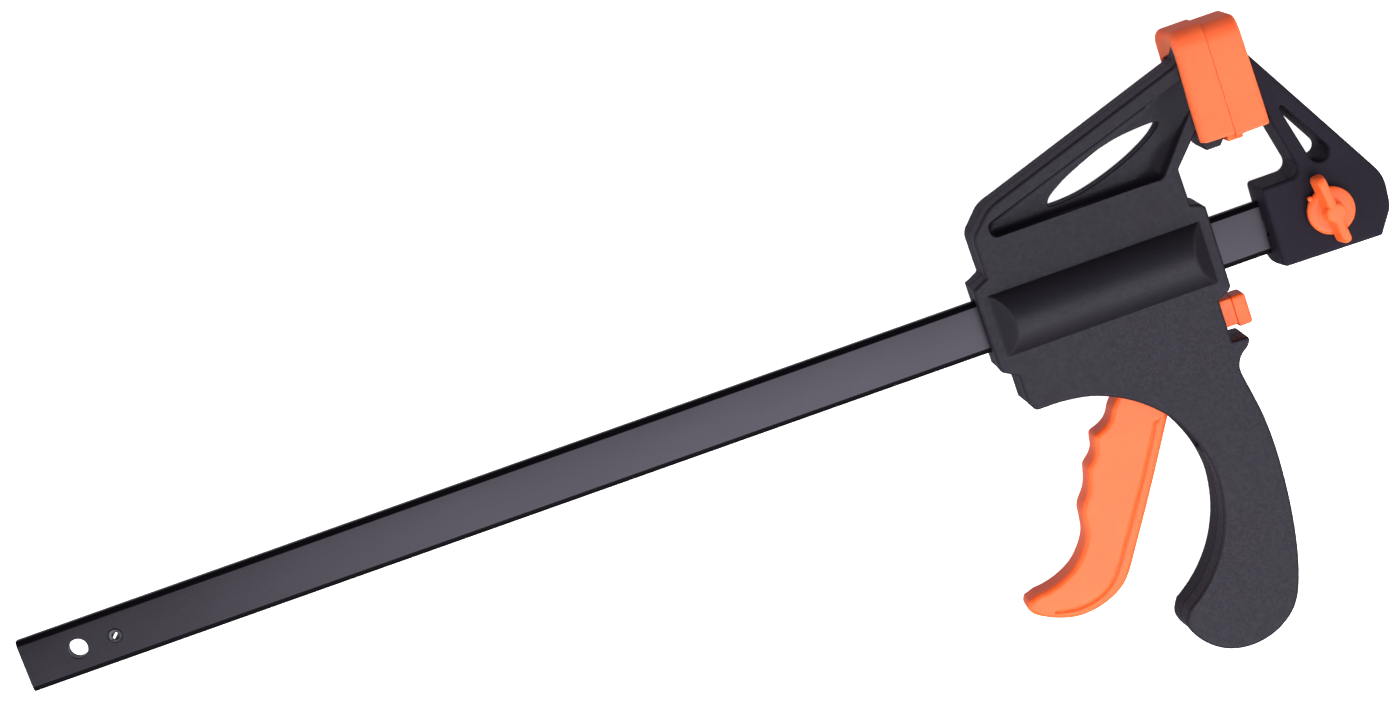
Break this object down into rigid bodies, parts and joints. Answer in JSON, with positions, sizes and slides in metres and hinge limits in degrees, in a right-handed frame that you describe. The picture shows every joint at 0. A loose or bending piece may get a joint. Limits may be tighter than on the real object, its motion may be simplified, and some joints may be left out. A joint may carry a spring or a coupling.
{
  "type": "quick release bar clamp",
  "caption": "One-handed bar clamp: a squeeze-trigger sliding head with a padded jaw moves along a flat steel bar towards a padded fixed jaw.",
  "frame": {"origin": "centre of the round hole at the free end of the bar, at the bar's mid-plane", "axes": "+X along the bar towards the fixed jaw, +Y from the bar towards the jaw tips, +Z through the thickness towards the wing knob"},
  "size_m": [0.4749, 0.2047, 0.0378],
  "materials": {
    "black_steel": "satin black oxide finish",
    "zinc_steel": "bright zinc plating",
    "black_nylon": "fine matte moulded grain",
    "orange_plastic": "smooth satin moulding",
    "orange_rubber": "smooth matte soft plastic"
  },
  "bodies": {
    "bar_frame": {"bar": "black_steel", "bar_stop_pin": "zinc_steel", "jaw_locating_pin": "zinc_steel", "fixed_jaw": "black_nylon", "fixed_pad": "orange_rubber", "jaw_nut": "zinc_steel"},
    "head": {"front_housing": "black_nylon", "rear_housing": "black_nylon", "housing_screws": "zinc_steel", "moving_pad": "orange_rubber", "trigger_pin": "zinc_steel", "drive_spring": "zinc_steel", "brake_spring": "zinc_steel"},
    "trigger": {"trigger": "orange_plastic"},
    "drive": {"drive_plate_a": "zinc_steel", "drive_plate_b": "zinc_steel"},
    "brake": {"brake_plate": "zinc_steel", "release_button": "orange_plastic"},
    "knob_carrier": {"knob_washer": "zinc_steel"},
    "knob": {"wing_knob": "orange_plastic", "wing_screw": "zinc_steel"}
  },
  "joints": [
    {"name": "head_slide", "type": "slide", "parent": "bar_frame", "child": "head", "axis": [-1, 0, 0], "range_m": [0, 0.3]},
    {"name": "trigger_squeeze", "type": "hinge", "parent": "head", "child": "trigger", "pos_m": [0.366, -0.025, 0], "axis": [0, 0, 1], "range_deg": [0, 18.9], "stiffness_Nm_per_rad": 0.15, "springref_deg": -22.92, "deforming": ["drive_spring"]},
    {"name": "drive_push", "type": "slide", "parent": "head", "child": "drive", "axis": [-1, 0, 0], "range_m": [0, 0.00415]},
    {"name": "brake_release", "type": "hinge", "parent": "head", "child": "brake", "pos_m": [0.3865, 0.014, 0], "axis": [0, 0, -1], "range_deg": [0, 5.5], "stiffness_Nm_per_rad": 0.3, "springref_deg": -11.46, "deforming": ["brake_spring"]},
    {"name": "knob_lift", "type": "slide", "parent": "bar_frame", "child": "knob_carrier", "axis": [0, 0, 1], "range_m": [0, 0.003]},
    {"name": "knob_turn", "type": "hinge", "parent": "knob_carrier", "child": "knob", "pos_m": [0.4358, 0.0003, 0], "axis": [0, 0, 1], "range_deg": [0, 1080]}
  ],
  "couplings": [
    {"joint": "drive_push", "follows": "trigger_squeeze", "m_per_rad": 0.0124},
    {"joint": "knob_turn", "follows": "knob_lift", "rad_per_m": 6283.2}
  ]
}
